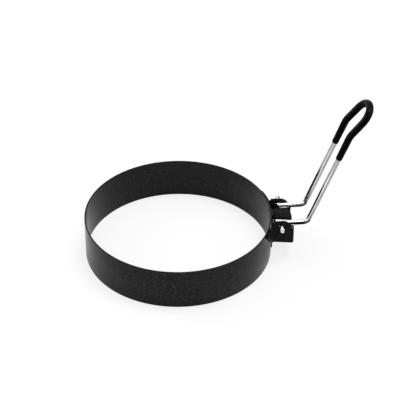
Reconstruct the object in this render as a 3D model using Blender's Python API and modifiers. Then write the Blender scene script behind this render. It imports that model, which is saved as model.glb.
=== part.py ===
"""Egg ring: a round band of coated sheet with a folding wire handle and a soft grip.

The band stands on the plane z = 0 and its handle points along +X. The origin is the middle
of the whole object's footprint box, so the band's own axis stands at x = RING_X. Lengths are
in metres. A "run" is a distance from the band's axis along X, and a "side" is a distance
from the handle's middle plane along Y.
"""

from math import asin, atan2, ceil, cos, pi, radians, sin, sqrt, tan

import bmesh
import bpy
from mathutils import Matrix, Quaternion, Vector

MM = 0.001

# Band: one strip of sheet rolled round, with its ends lapped behind the hinge
RING_DIAMETER = 75.0 * MM
RING_HEIGHT = 17.0 * MM
BAND_SHEET = 0.6 * MM
RIM_ROUND = 0.14 * MM
LAP_WIDTH = 4.4 * MM
LAP_INSET = 0.3 * MM
LAP_DEPTH_share = 1.5

# Fits between the pieces
SEAT_GAP = 0.3 * MM
PIN_PLAY = 0.1 * MM
SIDE_PLAY = 0.4 * MM
GRIP_PLAY = 0.08 * MM

# Hinge bracket: one pressing with two wings, two cheeks, a web and a tongue
BRACKET_SHEET = 0.6 * MM
BRACKET_REACH = 8.25 * MM
WING_WIDTH = 8.2 * MM
WING_BELOW_RIM = 0.9 * MM
WING_NOSE = 0.5 * MM
WING_NOSE_ROUND = 0.35 * MM
WING_BEND_RADIUS = 1.2 * MM
WEB_BEND_RADIUS = 0.7 * MM
WEB_BOW = 0.3 * MM
CHEEK_ABOVE_RIM = 0.5 * MM
CHEEK_HEIGHT = 10.6 * MM
EAR_ROUND = 3.4 * MM
FOOT_DROP = 0.6 * MM
TONGUE_BELOW_RIM = 0.8 * MM
TONGUE_TO_LEG = 2.0 * MM
TONGUE_BEND_RUN = 2.2 * MM
TONGUE_CROWN = 0.5 * MM
LIP_HEIGHT = 7.0 * MM
LIP_BEND_RADIUS = 0.6 * MM

# Handle: pins, legs, risers and loop are one length of round wire
WIRE_DIAMETER = 2.0 * MM
LEG_SPACING = 11.8 * MM
PIVOT_REACH = 3.45 * MM
PIVOT_BELOW_CHEEK_TOP = 2.1 * MM
PIN_PROUD = 3.7 * MM
PIN_ROUND = 0.9 * MM
PIN_BEND_share = 0.75
LEG_LENGTH = 10.4 * MM
LEG_SLOPE = radians(2.2)
LEG_BEND_RADIUS = 2.6 * MM
RISER_LENGTH = 42.8 * MM
RISER_SLOPE = radians(70.0)
KINK_RADIUS = 7.0 * MM
LOOP_LENGTH = 12.45 * MM
LOOP_SLOPE = radians(52.1)
LOOP_SPACING = 11.2 * MM
LOOP_BEND_share = 0.97

# Grip: a soft sleeve round the loop, a little thicker towards its tip
GRIP_BELOW_KINK = 11.1 * MM
CUFF_WALL = 0.2 * MM
GRIP_WALL = 0.41 * MM
CUFF_ROUND = 0.5 * MM
CUFF_EDGE_share = 0.3

# Fineness of the curved shapes
RING_SEGMENTS = 144
RIM_SEGMENTS = 3
LAP_SEGMENTS = 4
HOLE_SEGMENTS = 32
SHEET_BEND_SEGMENTS = 6
OUTLINE_SEGMENTS = 8
CROWN_SEGMENTS = 3
PIN_END_SEGMENTS = 5
CUFF_SEGMENTS = 3
WIRE_BEND_STEP = radians(11.25)
SHARP_ANGLE = radians(40.0)
TUBE_RESOLUTION = 6
GRIP_STATION = 2.0 * MM
OVERRUN = 2.0 * MM
MERGE_DISTANCE = 0.001 * MM

# Worked out from the sizes above
RING_RADIUS = RING_DIAMETER / 2
WIRE_RADIUS = WIRE_DIAMETER / 2
LEG_SIDE = LEG_SPACING / 2
LOOP_SIDE = LOOP_SPACING / 2
CHEEK_SIDE = LEG_SIDE + WIRE_RADIUS + SIDE_PLAY + BRACKET_SHEET / 2
CHEEK_TOP = RING_HEIGHT + CHEEK_ABOVE_RIM
CHEEK_FOOT = CHEEK_TOP - CHEEK_HEIGHT
WING_TOP = RING_HEIGHT - WING_BELOW_RIM
WING_RADIUS = RING_RADIUS + SEAT_GAP + BRACKET_SHEET / 2
WING_TIP_SIDE = CHEEK_SIDE + WING_WIDTH
WEB_RUN = RING_RADIUS + BRACKET_REACH - BRACKET_SHEET / 2
TONGUE_SIDE = LEG_SIDE - WIRE_RADIUS - TONGUE_TO_LEG
TONGUE_Z = RING_HEIGHT - TONGUE_BELOW_RIM - BRACKET_SHEET / 2
LIP_RUN = RING_RADIUS + BAND_SHEET + SEAT_GAP + BRACKET_SHEET / 2
PIVOT_RUN = RING_RADIUS + PIVOT_REACH
PIVOT_Z = CHEEK_TOP - PIVOT_BELOW_CHEEK_TOP
PIN_END_SIDE = CHEEK_SIDE + BRACKET_SHEET / 2 + PIN_PROUD
PIN_BEND_RADIUS = WIRE_RADIUS + SIDE_PLAY * PIN_BEND_share
LOOP_BEND_RADIUS = LOOP_SIDE * LOOP_BEND_share
BORE_RADIUS = WIRE_RADIUS + GRIP_PLAY

# At rest the legs lie a seat gap above the web, which stops them there
STOP_RUN = WEB_RUN - BRACKET_SHEET / 2 - PIVOT_RUN
STOP_Z = PIVOT_Z + STOP_RUN * tan(LEG_SLOPE) - WIRE_RADIUS / cos(LEG_SLOPE) - SEAT_GAP


def along(length, slope):
    """A straight stretch of the handle, in its middle plane."""
    return Vector((length * cos(slope), 0, length * sin(slope)))


# Corners of the handle's centre line, seen from its pivot
LEG_CORNER = along(LEG_LENGTH, LEG_SLOPE)
KINK_CORNER = LEG_CORNER + along(RISER_LENGTH, RISER_SLOPE)
TIP_CORNER = KINK_CORNER + along(LOOP_LENGTH, LOOP_SLOPE)
CUFF = KINK_CORNER - along(GRIP_BELOW_KINK, RISER_SLOPE)

# The footprint box runs from the band's far side to the tip of the grip
TIP_RUN = PIVOT_RUN + TIP_CORNER.x + BORE_RADIUS + GRIP_WALL
RING_X = (RING_RADIUS - TIP_RUN) / 2


def clear_scene():
    """Removes whatever objects the file opened with."""
    for obj in list(bpy.data.objects):
        bpy.data.objects.remove(obj, do_unlink=True)


def new_collection(name):
    """Adds a collection to the scene."""
    collection = bpy.data.collections.new(name)
    bpy.context.scene.collection.children.link(collection)
    return collection


def new_material(name, color, roughness, metallic):
    """Makes a plain material."""
    material = bpy.data.materials.new(name)
    material.use_nodes = True
    shader = material.node_tree.nodes["Principled BSDF"]
    shader.inputs["Base Color"].default_value = (*color, 1.0)
    shader.inputs["Roughness"].default_value = roughness
    shader.inputs["Metallic"].default_value = metallic
    return material


def add_object(name, data, collection, material=None):
    """Links a mesh, a curve or an empty to a collection."""
    obj = bpy.data.objects.new(name, data)
    collection.objects.link(obj)
    if material:
        data.materials.append(material)
    return obj


def as_tool(obj):
    """Marks an object as a cutter or filler of a Boolean."""
    obj.hide_render = True
    obj.display_type = "WIRE"
    return obj


def add_boolean(obj, tool, operation):
    """Cuts an object with a tool, or joins the tool to it."""
    modifier = obj.modifiers.new(tool.name, "BOOLEAN")
    modifier.operation = operation
    modifier.solver = "EXACT"
    modifier.object = tool


def add_screw(obj, angle, segments):
    """Turns a profile about its object's Z axis."""
    modifier = obj.modifiers.new("turn", "SCREW")
    modifier.axis = "Z"
    modifier.angle = angle
    modifier.steps = segments
    modifier.render_steps = segments
    modifier.use_merge_vertices = True
    modifier.merge_threshold = MERGE_DISTANCE


def add_sheet(obj, thickness, offset):
    """Gives an open surface the thickness of a sheet."""
    modifier = obj.modifiers.new("sheet", "SOLIDIFY")
    modifier.thickness = thickness
    modifier.offset = offset
    modifier.use_even_offset = True


def arc(center, radius, start, end, segments):
    """Points of a plane arc, both its ends included."""
    turns = [start + (end - start) * i / segments for i in range(segments + 1)]
    return [(center[0] + radius * cos(a), center[1] + radius * sin(a)) for a in turns]


def profile_mesh(name, profile, closed):
    """A mesh of edges through (run, height) points."""
    mesh = bpy.data.meshes.new(name)
    count = len(profile)
    edges = [(i, (i + 1) % count) for i in range(count if closed else count - 1)]
    mesh.from_pydata([(run, 0, height) for run, height in profile], edges, [])
    return mesh


def band_profile():
    """Section of the band, down its outer side and up its inner one, with rounded rims."""
    outer = RING_RADIUS - RIM_ROUND
    inner = RING_RADIUS - BAND_SHEET + RIM_ROUND
    low, high = RIM_ROUND, RING_HEIGHT - RIM_ROUND
    profile = []
    for turn, center in enumerate(((outer, high), (outer, low), (inner, low), (inner, high))):
        start = pi / 2 * (1 - turn)
        profile += arc(center, RIM_ROUND, start, start - pi / 2, RIM_SEGMENTS)
    return profile


def make_ring_band(parts, tools, material):
    """The band, with the lapped end of its strip standing proud behind the hinge."""
    band = add_object("ring_band", profile_mesh("ring_band", band_profile(), True), parts, material)
    band.location.x = RING_X
    add_screw(band, 2 * pi, RING_SEGMENTS)

    lap_radius = RING_RADIUS + BAND_SHEET
    lap_angle = 2 * asin(LAP_WIDTH / 2 / lap_radius)
    line = [(lap_radius, RING_HEIGHT - LAP_INSET), (lap_radius, LAP_INSET)]
    lap = as_tool(add_object("band_lap", profile_mesh("band_lap", line, False), tools))
    lap.location.x = RING_X
    lap.rotation_euler.z = -lap_angle / 2
    add_screw(lap, lap_angle, LAP_SEGMENTS)
    add_sheet(lap, BAND_SHEET * LAP_DEPTH_share, -1)
    add_boolean(band, lap, "UNION")


def quarter(segments):
    """Turns from nothing to a right angle, the start left out."""
    return [pi / 2 * (i + 1) / segments for i in range(segments)]


def bracket_stations():
    """Plan points of half the bracket's mid-surface, each with the sheet's foot and top there.

    They run from the web's middle through the web's bend, the cheek and its root bend to the
    tip of the wing. A station is (run, side, foot, top).
    """
    bend_run = WEB_RUN + WEB_BOW - WEB_BEND_RADIUS
    ear_run = bend_run - EAR_ROUND
    root_side = CHEEK_SIDE + WING_BEND_RADIUS
    root_run = sqrt((WING_RADIUS + WING_BEND_RADIUS) ** 2 - root_side ** 2)
    root_turn = pi + atan2(root_side, root_run)

    def foot_at(run):
        return CHEEK_FOOT + FOOT_DROP * (WEB_RUN - run) / (WEB_RUN - root_run)

    # Web and its bend
    stations = []
    for i in range(CROWN_SEGMENTS + 1):
        stations.append((WEB_RUN, TONGUE_SIDE * i / CROWN_SEGMENTS, CHEEK_FOOT, STOP_Z))
    bend_center = (bend_run, CHEEK_SIDE - WEB_BEND_RADIUS)
    for run, side in arc(bend_center, WEB_BEND_RADIUS, 0, pi / 2, SHEET_BEND_SEGMENTS):
        stations.append((run, side, foot_at(run), STOP_Z))

    # Cheek: its top rises round the ear
    for turn in reversed([0.0] + quarter(OUTLINE_SEGMENTS)[:-1]):
        run = ear_run + EAR_ROUND * sin(turn)
        top = STOP_Z + (CHEEK_TOP - STOP_Z) * cos(turn)
        stations.append((run, CHEEK_SIDE, foot_at(run), top))

    # Root bend: the top falls from the cheek to the wing
    root_center = (root_run, root_side)
    root = arc(root_center, WING_BEND_RADIUS, 3 / 2 * pi, root_turn, SHEET_BEND_SEGMENTS)
    for i, (run, side) in enumerate(root):
        share = i / SHEET_BEND_SEGMENTS
        top = WING_TOP + (CHEEK_TOP - WING_TOP) * cos(pi / 2 * share) ** 2
        stations.append((run, side, foot_at(root_run), top))

    # Wing: its foot slants up to a small rounded nose
    foot = foot_at(root_run)
    for turn in quarter(OUTLINE_SEGMENTS):
        side = root[-1][1] + (WING_TIP_SIDE - root[-1][1]) * sin(turn)
        run = sqrt(WING_RADIUS ** 2 - side ** 2)
        inset = max(0.0, 1 - (WING_TIP_SIDE - side) / WING_NOSE_ROUND)
        top = WING_TOP - WING_NOSE_ROUND * (1 - sqrt(1 - inset ** 2))
        stations.append((run, side, foot + (WING_TOP - WING_NOSE - foot) * sin(turn), top))
    return stations


def bracket_mesh():
    """Mid-surface of half the bracket: a strip round its plan, and the tongue bent from its web."""
    sheet = bmesh.new()
    stations = bracket_stations()
    feet = [sheet.verts.new((run, side, foot)) for run, side, foot, top in stations]
    for pair in zip(feet, feet[1:]):
        sheet.edges.new(pair)
    bmesh.ops.extrude_edge_only(sheet, edges=sheet.edges[:])
    tops = [next(e.other_vert(v) for e in v.link_edges if e.other_vert(v) not in feet) for v in feet]
    for vert, station in zip(tops, stations):
        vert.co.z = station[-1]

    # The tongue turns inwards over a crowned bend, runs to the lap and ends in a lip turned down
    root = tops[:CROWN_SEGMENTS + 1]
    edges = [edge for edge in sheet.edges if edge.verts[0] in root and edge.verts[1] in root]
    crowned = [(WEB_RUN, STOP_Z)]
    for turn in quarter(SHEET_BEND_SEGMENTS):
        run = WEB_RUN - TONGUE_BEND_RUN * (1 - cos(turn))
        crowned.append((run, STOP_Z + (TONGUE_Z - STOP_Z) * sin(turn)))
    lip_center = (LIP_RUN + LIP_BEND_RADIUS, TONGUE_Z - LIP_BEND_RADIUS)
    flat = arc(lip_center, LIP_BEND_RADIUS, pi / 2, pi, SHEET_BEND_SEGMENTS)
    flat.append((LIP_RUN, TONGUE_Z - LIP_HEIGHT))
    row = root
    for i, (run, height) in enumerate(crowned + flat):
        if i > 0:
            made = bmesh.ops.extrude_edge_only(sheet, edges=edges)["geom"]
            row = [element for element in made if isinstance(element, bmesh.types.BMVert)]
            edges = [e for e in made if isinstance(e, bmesh.types.BMEdge) and e.is_boundary
                     and e.verts[0] in row and e.verts[1] in row]
        crown = TONGUE_CROWN if i < len(crowned) else 0.0
        for vert in row:
            vert.co.x = run - crown * (vert.co.y / TONGUE_SIDE) ** 2
            vert.co.z = height
    bmesh.ops.recalc_face_normals(sheet, faces=sheet.faces[:])
    mesh = bpy.data.meshes.new("hinge_bracket")
    sheet.to_mesh(mesh)
    sheet.free()
    return mesh


def make_hinge_bracket(parts, tools, material):
    """The bracket: its half is mirrored, given the sheet's thickness and bored for the pins."""
    bracket = add_object("hinge_bracket", bracket_mesh(), parts, material)
    bracket.location.x = RING_X
    mirror = bracket.modifiers.new("other_half", "MIRROR")
    mirror.use_axis = (False, True, False)
    mirror.merge_threshold = MERGE_DISTANCE
    add_sheet(bracket, BRACKET_SHEET, 0)
    bracket.data.shade_smooth()
    bracket.data.set_sharp_from_angle(angle=SHARP_ANGLE)

    for name, side in (("pin_bore_near", -CHEEK_SIDE), ("pin_bore_far", CHEEK_SIDE)):
        drill = bmesh.new()
        bmesh.ops.create_cone(
            drill, cap_ends=True, segments=HOLE_SEGMENTS, radius1=WIRE_RADIUS + PIN_PLAY,
            radius2=WIRE_RADIUS + PIN_PLAY, depth=BRACKET_SHEET + OVERRUN,
            matrix=Matrix.Rotation(pi / 2, 4, "X"))
        mesh = bpy.data.meshes.new(name)
        drill.to_mesh(mesh)
        drill.free()
        bore = as_tool(add_object(name, mesh, tools))
        bore.location = (RING_X + PIVOT_RUN, side, PIVOT_Z)
        add_boolean(bracket, bore, "DIFFERENCE")


def rounded_path(corners, radii):
    """A centre line through corners, each inner one rounded by an arc of its own radius."""
    points = [corners[0]]
    for before, corner, after, radius in zip(corners, corners[1:], corners[2:], radii):
        arriving = (corner - before).normalized()
        leaving = (after - corner).normalized()
        turn = arriving.angle(leaving)
        center = corner + (leaving - arriving).normalized() * radius / cos(turn / 2)
        spoke = corner - arriving * radius * tan(turn / 2) - center
        axis = arriving.cross(leaving)
        steps = round(turn / WIRE_BEND_STEP) + 1
        points += [center + Quaternion(axis, turn * i / steps) @ spoke for i in range(steps + 1)]
    points.append(corners[-1])
    kept = points[:1]
    for point in points[1:]:
        if (point - kept[-1]).length > MERGE_DISTANCE:
            kept.append(point)
    return kept


def both_sides(corners):
    """Corners on the near side, then the same ones back along the far side."""
    near = [corner - Vector((0, side, 0)) for corner, side in corners]
    return near + [Vector((p.x, -p.y, p.z)) for p in reversed(near)]


def end_round(depth, loss, segments):
    """Steps of a rounded end: each one's reach from the end, and how much narrower it is there."""
    turns = [0.0] + quarter(segments)
    return [(depth * (1 - cos(turn)), loss * (1 - sin(turn))) for turn in turns]


def with_end_steps(points, steps):
    """Adds a point to both ends of a centre line for each step of a rounded end."""
    onward = (points[1] - points[0]).normalized()
    backward = (points[-2] - points[-1]).normalized()
    head = [points[0] + onward * reach for reach, loss in steps]
    tail = [points[-1] + backward * reach for reach, loss in reversed(steps)]
    return head + points[1:-1] + tail


def end_losses(count, steps):
    """How much narrower each point of a centre line is for its rounded ends."""
    losses = [loss for reach, loss in steps]
    return losses + [0.0] * (count - 2 * len(losses)) + losses[::-1]


def with_stations(points, spacing):
    """Divides the long stretches of a centre line."""
    divided = [points[0]]
    for start, end in zip(points, points[1:]):
        count = ceil((end - start).length / spacing)
        divided += [start.lerp(end, (i + 1) / count) for i in range(count)]
    return divided


def add_tube(name, points, radii, pivot, collection, material=None):
    """A filled round tube along a centre line, hung on the pivot."""
    curve = bpy.data.curves.new(name, "CURVE")
    curve.dimensions = "3D"
    curve.bevel_depth = max(radii)
    curve.bevel_resolution = TUBE_RESOLUTION
    curve.use_fill_caps = True
    spline = curve.splines.new("POLY")
    spline.points.add(len(points) - 1)
    for point, co, radius in zip(spline.points, points, radii):
        point.co = (*co, 1)
        point.radius = radius / curve.bevel_depth
    tube = add_object(name, curve, collection, material)
    tube.parent = pivot
    return tube


def mesh_from_tube(tube, collection, material=None):
    """Turns a tube into a closed mesh object of the same name."""
    bpy.context.view_layer.update()
    name, pivot, place = tube.name, tube.parent, tube.matrix_world.copy()
    depsgraph = bpy.context.evaluated_depsgraph_get()
    mesh = bpy.data.meshes.new_from_object(tube.evaluated_get(depsgraph))
    bpy.data.objects.remove(tube, do_unlink=True)
    welded = bmesh.new()
    welded.from_mesh(mesh)
    bmesh.ops.remove_doubles(welded, verts=welded.verts[:], dist=MERGE_DISTANCE)
    bmesh.ops.recalc_face_normals(welded, faces=welded.faces[:])
    welded.to_mesh(mesh)
    welded.free()
    mesh.materials.clear()
    obj = add_object(name, mesh, collection, material)
    obj.parent = pivot
    obj.matrix_world = place
    return obj


def make_wire_handle(parts, pivot, material):
    """The wire: a pin through each cheek, two legs and risers, and the loop that joins them."""
    corners = both_sides([
        (Vector(), PIN_END_SIDE), (Vector(), LEG_SIDE), (LEG_CORNER, LEG_SIDE),
        (KINK_CORNER, LEG_SIDE), (TIP_CORNER, LOOP_SIDE)])
    radii = (PIN_BEND_RADIUS, LEG_BEND_RADIUS, KINK_RADIUS, LOOP_BEND_RADIUS)
    steps = end_round(PIN_ROUND, PIN_ROUND, PIN_END_SEGMENTS)
    points = with_end_steps(rounded_path(corners, radii + radii[::-1]), steps)
    wire = [WIRE_RADIUS - loss for loss in end_losses(len(points), steps)]
    add_tube("wire_handle", points, wire, pivot, parts, material)


def loop_line(cuff):
    """The loop's centre line from one cuff to the other."""
    corners = both_sides([(cuff, LEG_SIDE), (KINK_CORNER, LEG_SIDE), (TIP_CORNER, LOOP_SIDE)])
    return rounded_path(corners, (KINK_RADIUS, LOOP_BEND_RADIUS, LOOP_BEND_RADIUS, KINK_RADIUS))


def make_grip_sleeve(parts, tools, pivot, material):
    """The grip: a sleeve round the loop, with a rounded cuff on each riser."""
    steps = end_round(CUFF_ROUND, CUFF_WALL * (1 - CUFF_EDGE_share), CUFF_SEGMENTS)
    points = with_end_steps(with_stations(loop_line(CUFF), GRIP_STATION), steps)
    reaches = [0.0]
    for start, end in zip(points, points[1:]):
        reaches.append(reaches[-1] + (end - start).length)
    radii = []
    for reach, loss in zip(reaches, end_losses(len(points), steps)):
        taper = (2 * reach / reaches[-1] - 1) ** 2
        radii.append(BORE_RADIUS + GRIP_WALL - (GRIP_WALL - CUFF_WALL) * taper - loss)
    sleeve = mesh_from_tube(add_tube("grip_sleeve", points, radii, pivot, parts), parts, material)
    sleeve.data.shade_smooth()

    points = loop_line(CUFF - along(OVERRUN, RISER_SLOPE))
    bore = add_tube("grip_bore", points, [BORE_RADIUS] * len(points), pivot, tools)
    add_boolean(sleeve, as_tool(mesh_from_tube(bore, tools)), "DIFFERENCE")


def main():
    """Builds the egg ring."""
    clear_scene()
    parts = new_collection("egg_ring")
    tools = new_collection("cutters")
    black_coat = new_material("black_nonstick_coat", (0.018, 0.018, 0.019), 0.45, 0.0)
    bare_wire = new_material("polished_steel_wire", (0.72, 0.72, 0.73), 0.16, 1.0)
    black_vinyl = new_material("black_vinyl", (0.006, 0.006, 0.007), 0.28, 0.0)

    make_ring_band(parts, tools, black_coat)
    make_hinge_bracket(parts, tools, black_coat)
    pivot = add_object("handle_pivot", None, parts)
    pivot.location = (RING_X + PIVOT_RUN, 0, PIVOT_Z)
    make_wire_handle(parts, pivot, bare_wire)
    make_grip_sleeve(parts, tools, pivot, black_vinyl)


main()
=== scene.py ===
"""Finished look of an egg ring: coated band, hinge bracket, folding wire handle and soft grip.

Lengths are in metres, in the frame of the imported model: the band stands on z = 0, the handle
points along +X, and the hinge's pins lie along Y.
"""

import logging
from dataclasses import dataclass, field
from enum import Enum
from math import asin, cos, pi, radians, sin, sqrt, tan
from typing import Callable

import bmesh
import bpy
from mathutils import Matrix, Vector


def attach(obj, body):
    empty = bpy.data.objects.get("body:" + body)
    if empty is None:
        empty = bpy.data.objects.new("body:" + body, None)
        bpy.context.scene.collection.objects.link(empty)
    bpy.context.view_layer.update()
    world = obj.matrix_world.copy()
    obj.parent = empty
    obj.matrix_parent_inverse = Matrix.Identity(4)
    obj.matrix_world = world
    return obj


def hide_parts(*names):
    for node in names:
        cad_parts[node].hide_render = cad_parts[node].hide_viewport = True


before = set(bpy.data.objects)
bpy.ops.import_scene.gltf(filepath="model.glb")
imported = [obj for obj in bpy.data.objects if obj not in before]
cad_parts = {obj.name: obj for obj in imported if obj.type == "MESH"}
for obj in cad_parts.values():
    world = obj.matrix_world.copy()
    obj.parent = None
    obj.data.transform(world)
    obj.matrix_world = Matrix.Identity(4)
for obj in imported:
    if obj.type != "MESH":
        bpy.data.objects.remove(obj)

LOG = logging.getLogger("egg_ring")

MM = 0.001
WELD = 0.002 * MM  # vertices that lie closer than this are one
CREASE = radians(32)  # edges that turn by more than this are shaded sharp
CORNER = radians(50)  # cut edges turn by more than this
EDGE_SEGMENTS = 3  # faces across the round of a cut edge
ROUND_UP = 0.49  # added to a number of steps before it is rounded
LYING = (0.0002, 0.0004)  # foot and top of a card on the floor

# A colour mix's sockets, which share their names with those for numbers and vectors.
MIX_SHARE, MIX_FIRST, MIX_SECOND, MIX_RESULT = 0, 6, 7, 2

# Spans of a noise's values: nearly all of them, and those close to its middle.
BROAD = (0.3, 0.7)
CLOSE = (0.35, 0.65)

Color = tuple[float, float, float]
Point = tuple[float, float, float]
Span = tuple[float, float]
Radius = Callable[[float], float]  # a tube's radius at a reach along its middle line
Socket = bpy.types.NodeSocket
Shape = bmesh.types.BMesh
Element = bmesh.types.BMVert | bmesh.types.BMEdge | bmesh.types.BMFace


class Body(Enum):
    """The bodies that the hinge joins."""

    RING = "ring"
    HANDLE = "handle"


class Slot(Enum):
    """The record's material slots."""

    BAND = "band_coat"
    BRACKET = "bracket_coat"
    WIRE = "bright_wire"
    GRIP = "grip_vinyl"


class Tone(Enum):
    """The greys of the cards that paint dark and grey reflections."""

    BLACK = 0.005
    GREY = 0.42
    PALE = 0.44


class NodeBench:
    """Lays out the nodes of one tree."""

    def __init__(self, tree: bpy.types.NodeTree) -> None:
        """Takes up the tree."""
        self.tree: bpy.types.NodeTree = tree

    def add(self, kind: str) -> bpy.types.Node:
        """Adds a node of a kind."""
        return self.tree.nodes.new(kind)

    def feed(self, value: float | tuple[float, ...] | Socket, socket: Socket) -> None:
        """Sets a socket to a value, or links another socket to it.

        Args:
            value: A number, a colour with its alpha, a point, or a socket.
            socket: The socket that takes it.
        """
        if isinstance(value, Socket):
            self.tree.links.new(value, socket)
        else:
            socket.default_value = value

    def math(self, operation: str, *values: float | Socket) -> Socket:
        """Works on one or more values.

        Args:
            operation: Name of the operation.
            values: Numbers or sockets, in the operation's order.

        Returns:
            The result.
        """
        node = self.add("ShaderNodeMath")
        node.operation = operation
        for value, socket in zip(values, node.inputs):
            self.feed(value, socket)
        return node.outputs["Value"]

    def seen(self, direct: float, glossy: float) -> Socket:
        """Tells how much of a glow a ray shows.

        Args:
            direct: Share that camera and transmission rays show.
            glossy: Share that glossy rays show.

        Returns:
            The ray's share, 0 for rays of any other kind.
        """
        path = self.add("ShaderNodeLightPath")
        camera, transmission, reflected = (
            self.math("MULTIPLY", path.outputs[f"Is {kind} Ray"], share)
            for kind, share in (("Camera", direct), ("Transmission", direct), ("Glossy", glossy)))
        return self.math("MAXIMUM", self.math("MAXIMUM", camera, transmission), reflected)


class MaterialBench(NodeBench):
    """Lays out the nodes of one material."""

    def __init__(self, name: str) -> None:
        """Starts a material.

        Args:
            name: The material's name.
        """
        self.material: bpy.types.Material = bpy.data.materials.new(name)
        self.material.use_nodes = True
        super().__init__(self.material.node_tree)
        self.shader: bpy.types.Node = self.tree.nodes["Principled BSDF"]
        self.place: Socket = self.add("ShaderNodeTexCoord").outputs["Object"]

    def set(self, name: str, value: float | tuple[float, ...] | Socket) -> None:
        """Gives a value, or another socket's, to one of the shader's sockets."""
        self.feed(value, self.shader.inputs[name])

    def noise(self, grain: float, detail: float, stretch: Point = (1, 1, 1)) -> Socket:
        """Adds a cloudy pattern.

        Args:
            grain: Width of its largest clouds.
            detail: How many finer layers lie on them.
            stretch: Factors of its frequency along the three axes.

        Returns:
            The pattern, around 0.5.
        """
        mapping = self.add("ShaderNodeMapping")
        self.feed(stretch, mapping.inputs["Scale"])
        self.feed(self.place, mapping.inputs["Vector"])
        pattern = self.add("ShaderNodeTexNoise")
        self.feed(1 / grain, pattern.inputs["Scale"])
        self.feed(detail, pattern.inputs["Detail"])
        self.feed(mapping.outputs["Vector"], pattern.inputs["Vector"])
        return pattern.outputs["Fac"]

    def spread(self, value: Socket, span: Span, low: float = 0.0, high: float = 1.0) -> Socket:
        """Maps a span of values smoothly onto another one.

        Args:
            value: The value to map.
            span: Its two ends.
            low: Result at the first end.
            high: Result at the second end.

        Returns:
            The mapped value.
        """
        mapped = self.add("ShaderNodeMapRange")
        mapped.interpolation_type = "SMOOTHSTEP"
        for name, number in zip(("From Min", "From Max", "To Min", "To Max"), (*span, low, high)):
            self.feed(number, mapped.inputs[name])
        self.feed(value, mapped.inputs["Value"])
        return mapped.outputs["Result"]

    def swing(self, value: Socket, pattern: Socket, most: float) -> Socket:
        """Lets a value swing down and up with a pattern, each way by no more than the most."""
        return self.math("ADD", value, self.spread(pattern, BROAD, -most, most))

    def mix(self, share: Socket, first: Color | Socket, second: Color | Socket) -> Socket:
        """Mixes two colours.

        Args:
            share: How much of the second colour there is.
            first: The first colour, or a socket that gives it.
            second: The second colour, or a socket that gives it.

        Returns:
            The mixed colour.
        """
        mixed = self.add("ShaderNodeMix")
        mixed.data_type = "RGBA"
        self.feed(share, mixed.inputs[MIX_SHARE])
        for color, index in ((first, MIX_FIRST), (second, MIX_SECOND)):
            self.feed(color if isinstance(color, Socket) else (*color, 1), mixed.inputs[index])
        return mixed.outputs[MIX_RESULT]

    def relief(self, height: Socket, depth: float, share: float) -> None:
        """Gives the shader a fine relief.

        Args:
            height: Pattern of the relief.
            depth: Depth of a full step of the pattern.
            share: Share of the relief that shows.
        """
        bump = self.add("ShaderNodeBump")
        self.feed(depth, bump.inputs["Distance"])
        self.feed(share, bump.inputs["Strength"])
        self.feed(height, bump.inputs["Height"])
        self.set("Normal", bump.outputs["Normal"])


@dataclass(frozen=True)
class WornSpot:
    """A ragged spot, on both sides of the handle, where the coat is rubbed off the steel."""

    at: Point
    reach: float = 0.7 * MM
    core: float = 0.8
    ragged: float = 0.25 * MM
    ragged_grain: float = 0.5 * MM
    steel: Color = (0.75, 0.75, 0.74)
    polish: float = 0.12

    def bare(self, bench: MaterialBench, color: Socket, rough: Socket) -> tuple[Socket, Socket]:
        """Bares the steel in the spot.

        Args:
            bench: The coat's nodes.
            color: Colour of the coat.
            rough: Roughness of the coat.

        Returns:
            The colour and the roughness, with the bare spot in them.
        """
        both = bench.add("ShaderNodeVectorMath")
        both.operation = "ABSOLUTE"
        bench.feed(bench.place, both.inputs[0])
        far = bench.add("ShaderNodeVectorMath")
        far.operation = "DISTANCE"
        bench.feed(both.outputs["Vector"], far.inputs[0])
        bench.feed(self.at, far.inputs[1])
        edge = bench.noise(self.ragged_grain, detail=3)
        away = bench.swing(far.outputs["Value"], edge, self.ragged)
        bare = bench.spread(away, (self.core * self.reach, self.reach), 1, 0)
        bench.set("Metallic", bare)
        rough = bench.math("MULTIPLY_ADD", bare, -self.polish, rough)
        return bench.mix(bare, color, self.steel), rough


@dataclass(frozen=True)
class CoatFinish:
    """A sprayed non-stick coat: dark, satin, finely speckled and a little uneven."""

    name: str
    dark: Color = (0.0005, 0.0005, 0.0012)
    light: Color = (0.0115, 0.0115, 0.0135)
    fleck: Color = (0.028, 0.028, 0.03)
    gloss: Span = (0.15, 0.23)
    gloss_swing: float = 0.03
    shine: float = 0.15
    cloud: float = 9 * MM
    grain: float = 0.8 * MM
    fleck_width: float = 1.7
    fleck_span: Span = (0.66, 0.76)
    relief: float = 0.012 * MM
    relief_share: float = 0.6
    worn: WornSpot | None = None

    def material(self) -> bpy.types.Material:
        """Makes the coat's material.

        Returns:
            The material, with the worn spot where there is one.
        """
        bench = MaterialBench(self.name)
        cloud = bench.noise(self.cloud, detail=3)
        grain = bench.noise(self.grain, detail=4)
        flecks = bench.noise(self.grain * self.fleck_width, detail=1)
        tone = bench.mix(bench.spread(grain, CLOSE), self.dark, self.light)
        color = bench.mix(bench.spread(flecks, self.fleck_span), tone, self.fleck)
        rough = bench.swing(bench.spread(cloud, CLOSE, *self.gloss), grain, self.gloss_swing)
        if self.worn:
            color, rough = self.worn.bare(bench, color, rough)
        bench.set("Base Color", color)
        bench.set("Roughness", rough)
        bench.set("Specular IOR Level", self.shine)
        bench.relief(grain, self.relief, self.relief_share)
        return bench.material


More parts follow.
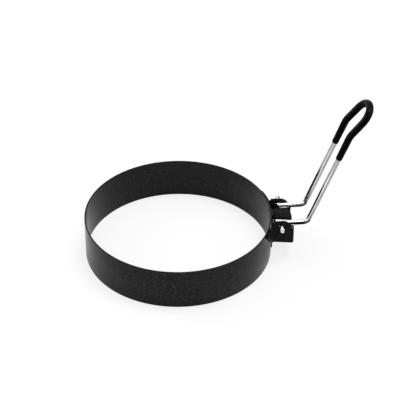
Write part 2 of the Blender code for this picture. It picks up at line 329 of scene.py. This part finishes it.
@dataclass(frozen=True)
class WireFinish:
    """Bright drawn steel wire: almost a mirror, with faint marks of the die and of handling."""

    name: str = "bright_drawn_wire"
    bright: Color = (0.86, 0.86, 0.865)
    dull: Color = (0.74, 0.74, 0.75)
    gloss: Span = (0.05, 0.11)
    gloss_swing: float = 0.02
    cloud: float = 5 * MM
    marks: float = 0.22 * MM
    marks_drawn: Point = (1, 1, 0.12)
    relief: float = 0.001 * MM
    relief_share: float = 0.3

    def material(self) -> bpy.types.Material:
        """Makes the wire's material.

        Returns:
            The material.
        """
        bench = MaterialBench(self.name)
        cloud = bench.noise(self.cloud, detail=3)
        marks = bench.noise(self.marks, detail=3, stretch=self.marks_drawn)
        rough = bench.swing(bench.spread(cloud, BROAD, *self.gloss), marks, self.gloss_swing)
        bench.set("Metallic", 1.0)
        bench.set("Base Color", bench.mix(bench.spread(cloud, CLOSE), self.dull, self.bright))
        bench.set("Roughness", rough)
        bench.relief(marks, self.relief, self.relief_share)
        return bench.material


@dataclass(frozen=True)
class VinylFinish:
    """Soft black vinyl: glossy, faintly wavy, with finger marks that dull it in places."""

    name: str = "glossy_black_vinyl"
    deep: Color = (0.0004, 0.0004, 0.0006)
    handled: Color = (0.0012, 0.0012, 0.0016)
    gloss: Span = (0.05, 0.1)
    gloss_swing: float = 0.03
    shine: float = 0.06
    cloud: float = 6 * MM
    skin: float = 0.5 * MM
    waves: float = 3.5 * MM
    wave_height: float = 8.0
    relief: float = 0.01 * MM
    relief_share: float = 0.5

    def material(self) -> bpy.types.Material:
        """Makes the grip's material.

        Returns:
            The material.
        """
        bench = MaterialBench(self.name)
        cloud = bench.noise(self.cloud, detail=3)
        skin = bench.noise(self.skin, detail=3)
        waves = bench.noise(self.waves, detail=1)
        rough = bench.swing(bench.spread(cloud, BROAD, *self.gloss), skin, self.gloss_swing)
        height = bench.math("MULTIPLY_ADD", waves, self.wave_height, skin)
        bench.set("Base Color", bench.mix(bench.spread(cloud, CLOSE), self.deep, self.handled))
        bench.set("Roughness", rough)
        bench.set("Specular IOR Level", self.shine)
        bench.relief(height, self.relief, self.relief_share)
        return bench.material


def grey(tone: float) -> tuple[float, float, float, float]:
    """A grey as a colour with its alpha."""
    return tone, tone, tone, 1


def placed(name: str, shape: Shape, material: bpy.types.Material) -> bpy.types.Object:
    """Puts an object of a shape in the scene.

    Args:
        name: The object's name.
        shape: Its shape, in its own frame. It is freed.
        material: Its material.

    Returns:
        The object.
    """
    mesh = bpy.data.meshes.new(name)
    shape.to_mesh(mesh)
    shape.free()
    mesh.materials.append(material)
    made = bpy.data.objects.new(name, mesh)
    bpy.context.scene.collection.objects.link(made)
    return made


def finished(
        name: str, shape: Shape, finish: bpy.types.Material, body: Body,
        replaced: str = "") -> bpy.types.Object:
    """Makes a finished piece of a shape and puts it on its body.

    Args:
        name: The piece's name.
        shape: The piece's shape, in the object's own frame. It is freed.
        finish: The piece's material.
        body: The body that carries it.
        replaced: The node that it stands for, if any.

    Returns:
        The piece.
    """
    bmesh.ops.remove_doubles(shape, verts=shape.verts[:], dist=WELD)
    bmesh.ops.recalc_face_normals(shape, faces=shape.faces[:])
    piece = placed(name, shape, finish)
    piece.data.shade_smooth()
    piece.data.set_sharp_from_angle(angle=CREASE)
    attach(piece, body.value)
    if replaced:
        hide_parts(replaced)
    return piece


def picked(geometry: list[Element], kind: type) -> list[Element]:
    """Picks the elements of one kind out of an operator's result."""
    return [element for element in geometry if isinstance(element, kind)]


def rounded(shape: Shape, width: float, clamp: bool = False) -> None:
    """Rounds the cut edges of a shape.

    Args:
        shape: The shape.
        width: How far the round reaches from the edge.
        clamp: Whether it stays narrower where two rounds would meet.
    """
    sharp = [edge for edge in shape.edges if edge.is_manifold and edge.calc_face_angle() > CORNER]
    bmesh.ops.bevel(
        shape, geom=sharp, offset=width, segments=EDGE_SEGMENTS, profile=0.5, affect="EDGES",
        clamp_overlap=clamp, material=-1)


def mirrored(shape: Shape) -> None:
    """Adds the far half of a shape whose near half ends at the handle's middle plane."""
    everything = shape.verts[:] + shape.edges[:] + shape.faces[:]
    bmesh.ops.mirror(shape, geom=everything, matrix=Matrix(), merge_dist=WELD, axis="Y")


def steps_over(way: float, pace: float) -> int:
    """How many even steps, of about a pace at most, cover a way."""
    return max(1, round(way / pace + ROUND_UP))


def quarter_drop(reach: float, length: float) -> float:
    """How far a quarter round has still to rise at a reach from its end.

    Args:
        reach: The distance from the end.
        length: Length of the round.

    Returns:
        A share of the round's height: 1 at the end, and 0 from the round's length on.
    """
    inside = max(0.0, 1 - reach / length)
    return 1 - sqrt(1 - inside ** 2)


class BentTube:
    """A round tube, drawn out and bent step by step as on a wire former."""

    SIDES: int = 40

    def __init__(self, start: Vector, heading: Vector, radius: Radius) -> None:
        """Starts a tube with an open end.

        Args:
            start: Middle of its first end.
            heading: Direction in which it is drawn.
            radius: Its radius at a reach along its middle line.
        """
        self.shape: Shape = bmesh.new()
        self.at: Vector = start.copy()
        self.heading: Vector = heading.normalized()
        self.radius: Radius = radius
        self.reach: float = 0.0
        self.size: float = radius(0)
        turn = self.heading.to_track_quat("Z", "Y").to_matrix().to_4x4()
        bmesh.ops.create_circle(
            self.shape, segments=self.SIDES, radius=self.size,
            matrix=Matrix.Translation(start) @ turn)
        self.rim: list[bmesh.types.BMEdge] = self.shape.edges[:]
        self.first: list[bmesh.types.BMEdge] = self.shape.edges[:]

    def step(self, move: Matrix, length: float) -> None:
        """Extrudes the open end.

        Args:
            move: Where the end goes.
            length: How far its middle goes.
        """
        made = bmesh.ops.extrude_edge_only(self.shape, edges=self.rim)["geom"]
        verts = picked(made, bmesh.types.BMVert)
        self.rim = [edge for edge in picked(made, bmesh.types.BMEdge) if edge.is_boundary]
        self.at = move @ self.at
        self.heading = (move.to_3x3() @ self.heading).normalized()
        self.reach += length
        size = self.radius(self.reach)
        grow = Matrix.Scale(size / self.size, 4)
        there = Matrix.Translation(self.at)
        bmesh.ops.transform(self.shape, matrix=there @ grow @ there.inverted() @ move, verts=verts)
        self.size = size

    def draw(self, length: float, pace: float) -> None:
        """Draws the tube straight on.

        Args:
            length: How far.
            pace: The longest step.
        """
        steps = steps_over(length, pace)
        for _ in range(steps):
            self.step(Matrix.Translation(self.heading * (length / steps)), length / steps)

    def draw_round(self, length: float, steps: int) -> None:
        """Draws the tube's rounded end, in rings spaced evenly round a quarter circle.

        Args:
            length: Length of the round.
            steps: Number of its rings.
        """
        for ring in range(1, steps + 1):
            self.draw(length * (1 - cos(pi / 2 * ring / steps)) - self.reach, length)

    def bend(self, onto: Vector, radius: float, pace: float) -> None:
        """Bends the tube into a new direction.

        Args:
            onto: The new direction.
            radius: Radius of the middle line's bend.
            pace: The largest turn of one step.
        """
        axis = self.heading.cross(onto).normalized()
        angle = self.heading.angle(onto)
        center = Matrix.Translation(self.at + axis.cross(self.heading) * radius)
        steps = steps_over(angle, pace)
        turn = center @ Matrix.Rotation(angle / steps, 4, axis) @ center.inverted()
        for _ in range(steps):
            self.step(turn, radius * angle / steps)

    def follow(self, corners: list[Vector], radii: list[float], pace: float, turn: float) -> None:
        """Draws the tube round corners.

        Args:
            corners: Corners of its middle line, and its end.
            radii: Radius of the bend at each corner but the last.
            pace: The longest straight step.
            turn: The largest turn of one step.
        """
        for corner, after, radius in zip(corners, corners[1:], radii):
            onto = (after - corner).normalized()
            cut = radius * tan(self.heading.angle(onto) / 2)
            self.draw((corner - self.at).length - cut, pace)
            self.bend(onto, radius, turn)
        self.draw((corners[-1] - self.at).length, pace)


@dataclass
class RingBand:
    """The band: a strip of sheet rolled round, with its ends lapped behind the hinge."""

    middle: float = -18.8093 * MM
    diameter: float = 75.0 * MM
    height: float = 17.0 * MM
    sheet: float = 0.6 * MM
    rim_round: float = 0.14 * MM
    rim_segments: int = 4
    segments: int = 288
    lap_width: float = 4.4 * MM
    lap_sheets: float = 1.5
    lap_inset: float = 0.3 * MM
    lap_round: float = 0.1 * MM
    lap_segments: int = 12
    finish: CoatFinish = field(default_factory=lambda: CoatFinish("band_nonstick_coat"))

    def section(self, inner: float, outer: float, low: float, high: float) -> Shape:
        """Makes a rectangle in the plane of the axis.

        Args:
            inner: Its smaller radius.
            outer: Its larger radius.
            low: Its foot.
            high: Its top.

        Returns:
            The rectangle, as one face.
        """
        shape = bmesh.new()
        bmesh.ops.create_grid(shape, x_segments=1, y_segments=1, size=0.5)
        bmesh.ops.scale(shape, vec=(outer - inner, high - low, 1), verts=shape.verts[:])
        upright = Matrix.Rotation(pi / 2, 3, "X")
        bmesh.ops.rotate(shape, matrix=upright, verts=shape.verts[:])
        center = (self.middle + (inner + outer) / 2, 0, (low + high) / 2)
        bmesh.ops.translate(shape, vec=center, verts=shape.verts[:])
        return shape

    def build_band(self) -> Shape:
        """Turns the rounded section of the sheet once round.

        Returns:
            The band.
        """
        outer = self.diameter / 2
        shape = self.section(outer - self.sheet, outer, 0, self.height)
        bmesh.ops.bevel(
            shape, geom=shape.verts[:], offset=self.rim_round, segments=self.rim_segments,
            profile=0.5, affect="VERTICES", material=-1)
        bmesh.ops.delete(shape, geom=shape.faces[:], context="FACES_ONLY")
        bmesh.ops.spin(
            shape, geom=shape.verts[:] + shape.edges[:], cent=(self.middle, 0, 0), axis=(0, 0, 1),
            angle=2 * pi, steps=self.segments, use_merge=True)
        return shape

    def build_lap(self) -> Shape:
        """Turns the section of the outer end through the width of the lap.

        Returns:
            The lapped end, which reaches into the band.
        """
        outer = self.diameter / 2 + self.sheet
        inner = outer - self.lap_sheets * self.sheet
        angle = 2 * asin(self.lap_width / 2 / outer)
        axis = (self.middle, 0, 0)
        shape = self.section(inner, outer, self.lap_inset, self.height - self.lap_inset)
        back = Matrix.Rotation(-angle / 2, 3, "Z")
        bmesh.ops.rotate(shape, cent=axis, matrix=back, verts=shape.verts[:])
        bmesh.ops.spin(
            shape, geom=shape.faces[:], cent=axis, axis=(0, 0, 1), angle=angle,
            steps=self.lap_segments)
        bmesh.ops.remove_doubles(shape, verts=shape.verts[:], dist=WELD)
        rounded(shape, self.lap_round)
        return shape

    def dress(self) -> list[bpy.types.Object]:
        """Builds both pieces and gives them their coat.

        Returns:
            The band and its lap.
        """
        coat = self.finish.material()
        return [
            finished("coated_band", self.build_band(), coat, Body.RING, "ring_band"),
            finished("band_lap", self.build_lap(), coat, Body.RING),
        ]


@dataclass
class HingeBracket:
    """The bracket: one pressing with two wings, two cheeks, a web and a tongue."""

    edge_round: float = 0.1 * MM
    flat: float = radians(0.5)
    finish: CoatFinish = field(default_factory=lambda: CoatFinish(
        "bracket_nonstick_coat", dark=(0.007, 0.007, 0.0078), light=(0.016, 0.016, 0.0172),
        fleck=(0.024, 0.024, 0.025), shine=0.015,
        worn=WornSpot(at=(26.7 * MM, 7.35 * MM, 14.3 * MM))))

    def build(self) -> Shape:
        """Rounds the cut edges of the pressed sheet.

        Returns:
            The bracket.
        """
        shape = bmesh.new()
        shape.from_mesh(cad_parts["hinge_bracket"].data)
        bmesh.ops.remove_doubles(shape, verts=shape.verts[:], dist=WELD)
        bmesh.ops.dissolve_limit(
            shape, angle_limit=self.flat, verts=shape.verts[:], edges=shape.edges[:])
        rounded(shape, self.edge_round, clamp=True)
        return shape

    def dress(self) -> list[bpy.types.Object]:
        """Builds the bracket and gives it its coat.

        Returns:
            The bracket.
        """
        coat = self.finish.material()
        return [finished(
            "pressed_bracket", self.build(), coat, Body.RING, "hinge_bracket")]


@dataclass
class HandleLine:
    """The middle line of the handle's wire, from its near pin to the middle of its loop."""

    pivot: Vector = field(default_factory=lambda: Vector((22.1407, 0, 15.4)) * MM)
    pin_end: float = 11.6 * MM
    leg_side: float = 5.9 * MM
    loop_side: float = 5.6 * MM
    leg: float = 10.4 * MM
    leg_slope: float = radians(2.2)
    riser: float = 42.8 * MM
    riser_slope: float = radians(70.0)
    loop: float = 12.45 * MM
    loop_slope: float = radians(52.1)
    pin_bend: float = 1.3 * MM
    leg_bend: float = 2.6 * MM
    kink_bend: float = 7.0 * MM
    loop_bend: float = 5.432 * MM

    def along(self, length: float, slope: float) -> Vector:
        """A stretch of the line in the handle's middle plane."""
        return Vector((length * cos(slope), 0, length * sin(slope)))

    def corners(self) -> list[Vector]:
        """Works out where the line turns.

        Returns:
            The pin's end, the corners at pin, leg, kink and tip, and the middle of the loop.
        """
        leg = self.pivot + self.along(self.leg, self.leg_slope)
        kink = leg + self.along(self.riser, self.riser_slope)
        tip = kink + self.along(self.loop, self.loop_slope)
        near = Vector((0, -self.leg_side, 0))
        return [
            self.pivot - Vector((0, self.pin_end, 0)), self.pivot + near, leg + near, kink + near,
            tip - Vector((0, self.loop_side, 0)), tip]

    def radii(self) -> list[float]:
        """The radius of the bend at each of the line's corners."""
        return [self.pin_bend, self.leg_bend, self.kink_bend, self.loop_bend]


@dataclass
class WireHandle:
    """The wire: pins, legs, risers and loop in one length."""

    line: HandleLine = field(default_factory=HandleLine)
    radius: float = 1.0 * MM
    pin_round: float = 0.5 * MM
    pin_rings: int = 8
    pace: float = 4 * MM
    turn: float = radians(6)
    finish: WireFinish = field(default_factory=WireFinish)

    def radius_at(self, reach: float) -> float:
        """The wire's radius, less in the rounding of its end."""
        return self.radius - self.pin_round * quarter_drop(reach, self.pin_round)

    def build(self) -> Shape:
        """Draws the near half from its rounded pin to the loop, and mirrors it.

        Returns:
            The wire.
        """
        pin, *corners = self.line.corners()
        wire = BentTube(pin, Vector((0, 1, 0)), self.radius_at)
        wire.draw_round(self.pin_round, self.pin_rings)
        wire.follow(corners, self.line.radii(), self.pace, self.turn)
        bmesh.ops.edgeloop_fill(wire.shape, edges=wire.first)
        mirrored(wire.shape)
        return wire.shape

    def dress(self) -> list[bpy.types.Object]:
        """Builds the wire and gives it its polish.

        Returns:
            The wire.
        """
        polish = self.finish.material()
        return [finished(
            "bright_wire_handle", self.build(), polish, Body.HANDLE, "wire_handle")]


@dataclass
class GripSleeve:
    """The grip: a soft sleeve round the loop, thickest at its tip, with a cuff on each riser."""

    line: HandleLine = field(default_factory=HandleLine)
    below_kink: float = 11.1 * MM
    bore: float = 1.08 * MM
    cuff_wall: float = 0.2 * MM
    wall: float = 0.41 * MM
    cuff_round: float = 0.5 * MM
    cuff_edge: float = 0.3
    cuff_rings: int = 6
    pace: float = 1.2 * MM
    turn: float = radians(5)
    finish: VinylFinish = field(default_factory=VinylFinish)

    def outside_at(self, reach: float, length: float) -> float:
        """Works out the sleeve's outer radius, less in the rounding of its cuff.

        Args:
            reach: Distance from the cuff along the middle line.
            length: Distance from the cuff to the middle of the loop.

        Returns:
            The radius.
        """
        swell = 1 - (1 - min(1.0, reach / length)) ** 2
        thickness = self.cuff_wall + (self.wall - self.cuff_wall) * swell
        lost = self.cuff_wall * (1 - self.cuff_edge)
        return self.bore + thickness - lost * quarter_drop(reach, self.cuff_round)

    def tube(self, radius: Radius) -> BentTube:
        """Draws the near half of a tube along the sleeve.

        Args:
            radius: Its radius at a reach from the cuff.

        Returns:
            The tube, open at the cuff and at the middle of the loop.
        """
        leg, kink, *loop = self.line.corners()[2:]
        heading = (kink - leg).normalized()
        tube = BentTube(kink - heading * self.below_kink, heading, radius)
        tube.draw_round(self.cuff_round, self.cuff_rings)
        tube.follow([kink, *loop], self.line.radii()[2:], self.pace, self.turn)
        return tube

    def build(self) -> Shape:
        """Draws the outside and the bore, joins them at the cuff, and mirrors them.

        Returns:
            The sleeve.
        """
        bore = self.tube(lambda reach: self.bore)
        sleeve = self.tube(lambda reach: self.outside_at(reach, bore.reach)).shape
        inner = bpy.data.meshes.new("bore")
        bore.shape.to_mesh(inner)
        bore.shape.free()
        sleeve.from_mesh(inner)
        bpy.data.meshes.remove(inner)
        cuff = [
            edge for edge in sleeve.edges
            if edge.is_boundary and abs(edge.verts[0].co.y) > self.bore]
        bmesh.ops.bridge_loops(sleeve, edges=cuff)
        mirrored(sleeve)
        return sleeve

    def dress(self) -> list[bpy.types.Object]:
        """Builds the sleeve and gives it its gloss.

        Returns:
            The sleeve.
        """
        vinyl = self.finish.material()
        return [finished(
            "soft_grip", self.build(), vinyl, Body.HANDLE, "grip_sleeve")]


@dataclass(frozen=True)
class Card:
    """A matt card that shows in glossy surfaces alone: a painted dark reflection that stands in
    for shade on the floor and around the object.
    """

    name: str
    low: Point
    high: Point
    tone: Tone = Tone.BLACK

    def lay(self) -> None:
        """Puts the card in the scene."""
        ends = list(zip(self.low, self.high))
        shape = bmesh.new()
        bmesh.ops.create_cube(shape, size=1)
        bmesh.ops.scale(shape, vec=[b - a for a, b in ends], verts=shape.verts[:])
        bmesh.ops.translate(shape, vec=[(a + b) / 2 for a, b in ends], verts=shape.verts[:])
        bench = MaterialBench(self.name)
        bench.set("Base Color", grey(self.tone.value))
        bench.set("Specular IOR Level", 0.0)
        card = placed(self.name, shape, bench.material)
        card.visible_camera = False
        card.visible_diffuse = False
        card.visible_shadow = False
        card.visible_transmission = False


def lying(name: str, low: Span, high: Span, tone: Tone = Tone.BLACK) -> Card:
    """Makes a card that lies just above the floor, between two corners seen from above."""
    foot, top = LYING
    return Card(name, (*low, foot), (*high, top), tone)


@dataclass(frozen=True)
class Softbox:
    """A soft square lamp that faces the object."""

    name: str
    place: Point
    size: float
    watts: float

    def hang(self) -> None:
        """Puts the lamp in the scene."""
        lamp = bpy.data.lights.new(self.name, "AREA")
        lamp.shape = "SQUARE"
        lamp.size = self.size
        lamp.energy = self.watts
        softbox = bpy.data.objects.new(self.name, lamp)
        bpy.context.scene.collection.objects.link(softbox)
        softbox.location = self.place
        softbox.rotation_mode = "QUATERNION"
        softbox.rotation_quaternion = (-Vector(self.place)).to_track_quat("-Z", "Y")


@dataclass
class Studio:
    """A pale floor, soft light, cards that paint dark reflections, and the camera of the
    photograph.
    """

    eye: Point = (-0.033355, -0.465615, 0.364179)
    look: Point = (0.045717, 0.802905, -0.594352)
    up: Point = (0.027421, 0.593741, 0.804189)
    lens: float = 125.533
    sensor: float = 36.0
    clip: Span = (0.01, 20.0)
    floor_size: float = 6.0
    floor_tone: float = 0.93
    floor_rough: float = 0.9
    floor_glow: float = 0.75
    glossy_glow: float = 0.15
    fill: float = 0.72
    # Painted reflections: black and grey cards that only glossy rays see, standing in for shade on
    # the floor near the object and for darker surroundings.
    cards: tuple[Card, ...] = (
        lying("low_card", (0.0275, -0.1), (0.047, -0.046)),
        lying("far_card", (0.0275, -0.25), (0.065, -0.1)),
        Card("leg_card", (0.027, -0.046, 0.009), (0.039, 0.012, 0.0092)),
        Card("front_card", (-0.15, -0.252, 0.0), (0.2, -0.25, 0.26)),
        lying("right_card", (0.047, -0.1), (0.4, 0.02), Tone.PALE),
        lying("bend_card", (0.036, 0.02), (0.45, 0.45)),
        lying("back_card", (-0.085, 0.045), (0.036, 0.09)),
        lying("behind_card", (-0.085, 0.09), (0.036, 0.3), Tone.GREY),
        lying("left_card", (-0.5, -0.105), (-0.085, 0.25), Tone.GREY),
        lying("near_card", (-0.5, -0.5), (0.0235, -0.105), Tone.GREY),
        Card("side_card", (0.2, 0.45, 0.0), (0.6, 0.452, 0.2)),
    )
    softboxes: tuple[Softbox, ...] = (
        Softbox("top_lamp", (0.2, 0.1, 1.1), size=0.45, watts=5.5),
        Softbox("left_lamp", (-0.62, 0.3, 0.36), size=0.25, watts=1.2),
    )

    def floor(self) -> None:
        """Lays the floor, which shows as white with a faint shadow."""
        shape = bmesh.new()
        bmesh.ops.create_grid(shape, x_segments=1, y_segments=1, size=self.floor_size / 2)
        bench = MaterialBench("pale_floor")
        bench.set("Base Color", grey(self.floor_tone))
        bench.set("Roughness", self.floor_rough)
        bench.set("Specular IOR Level", 0.0)
        glow = bench.add("ShaderNodeEmission")
        blend = bench.add("ShaderNodeMixShader")
        share = bench.seen(self.floor_glow, self.glossy_glow)
        surfaces = (share, bench.shader.outputs["BSDF"], glow.outputs["Emission"])
        for value, socket in zip(surfaces, blend.inputs):
            bench.feed(value, socket)
        output = bench.tree.nodes["Material Output"]
        bench.feed(blend.outputs["Shader"], output.inputs["Surface"])
        floor = placed("floor", shape, bench.material)

    def world(self) -> None:
        """Makes the surroundings: white where they are seen, and a plain fill light."""
        world = bpy.data.worlds.new("white_surroundings")
        world.use_nodes = True
        bpy.context.scene.world = world
        bench = NodeBench(world.node_tree)
        background = bench.tree.nodes["Background"]
        strength = bench.add("ShaderNodeMapRange")
        bench.feed(grey(1), background.inputs["Color"])
        bench.feed(self.fill, strength.inputs["To Min"])
        bench.feed(1.0, strength.inputs["To Max"])
        bench.feed(bench.seen(1.0, 1.0), strength.inputs["Value"])
        bench.feed(strength.outputs["Result"], background.inputs["Strength"])

    def camera(self) -> None:
        """Sets up the camera at the photograph's place."""
        data = bpy.data.cameras.new("camera")
        data.lens = self.lens
        data.sensor_width = self.sensor
        data.clip_start, data.clip_end = self.clip
        camera = bpy.data.objects.new("camera", data)
        bpy.context.scene.collection.objects.link(camera)
        look, up = Vector(self.look), Vector(self.up)
        axes = Matrix((look.cross(up).normalized(), up.normalized(), -look.normalized()))
        turn = axes.transposed().to_4x4()
        camera.matrix_world = Matrix.Translation(self.eye) @ turn
        bpy.context.scene.camera = camera

    def build(self) -> None:
        """Sets up everything round the object."""
        bpy.context.scene.view_settings.view_transform = "Standard"
        self.floor()
        for card in self.cards:
            card.lay()
        self.world()
        for softbox in self.softboxes:
            softbox.hang()
        self.camera()


def main() -> None:
    """Builds the surroundings and the egg ring, and reports its pieces."""
    logging.basicConfig(level=logging.INFO, format="%(name)s: %(message)s")
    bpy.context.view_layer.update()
    Studio().build()
    line = HandleLine()
    for part in (RingBand(), HingeBracket(), WireHandle(line), GripSleeve(line)):
        for piece in part.dress():
            LOG.info("%s: %d faces", piece.name, len(piece.data.polygons))


if __name__ == "__main__":
    main()
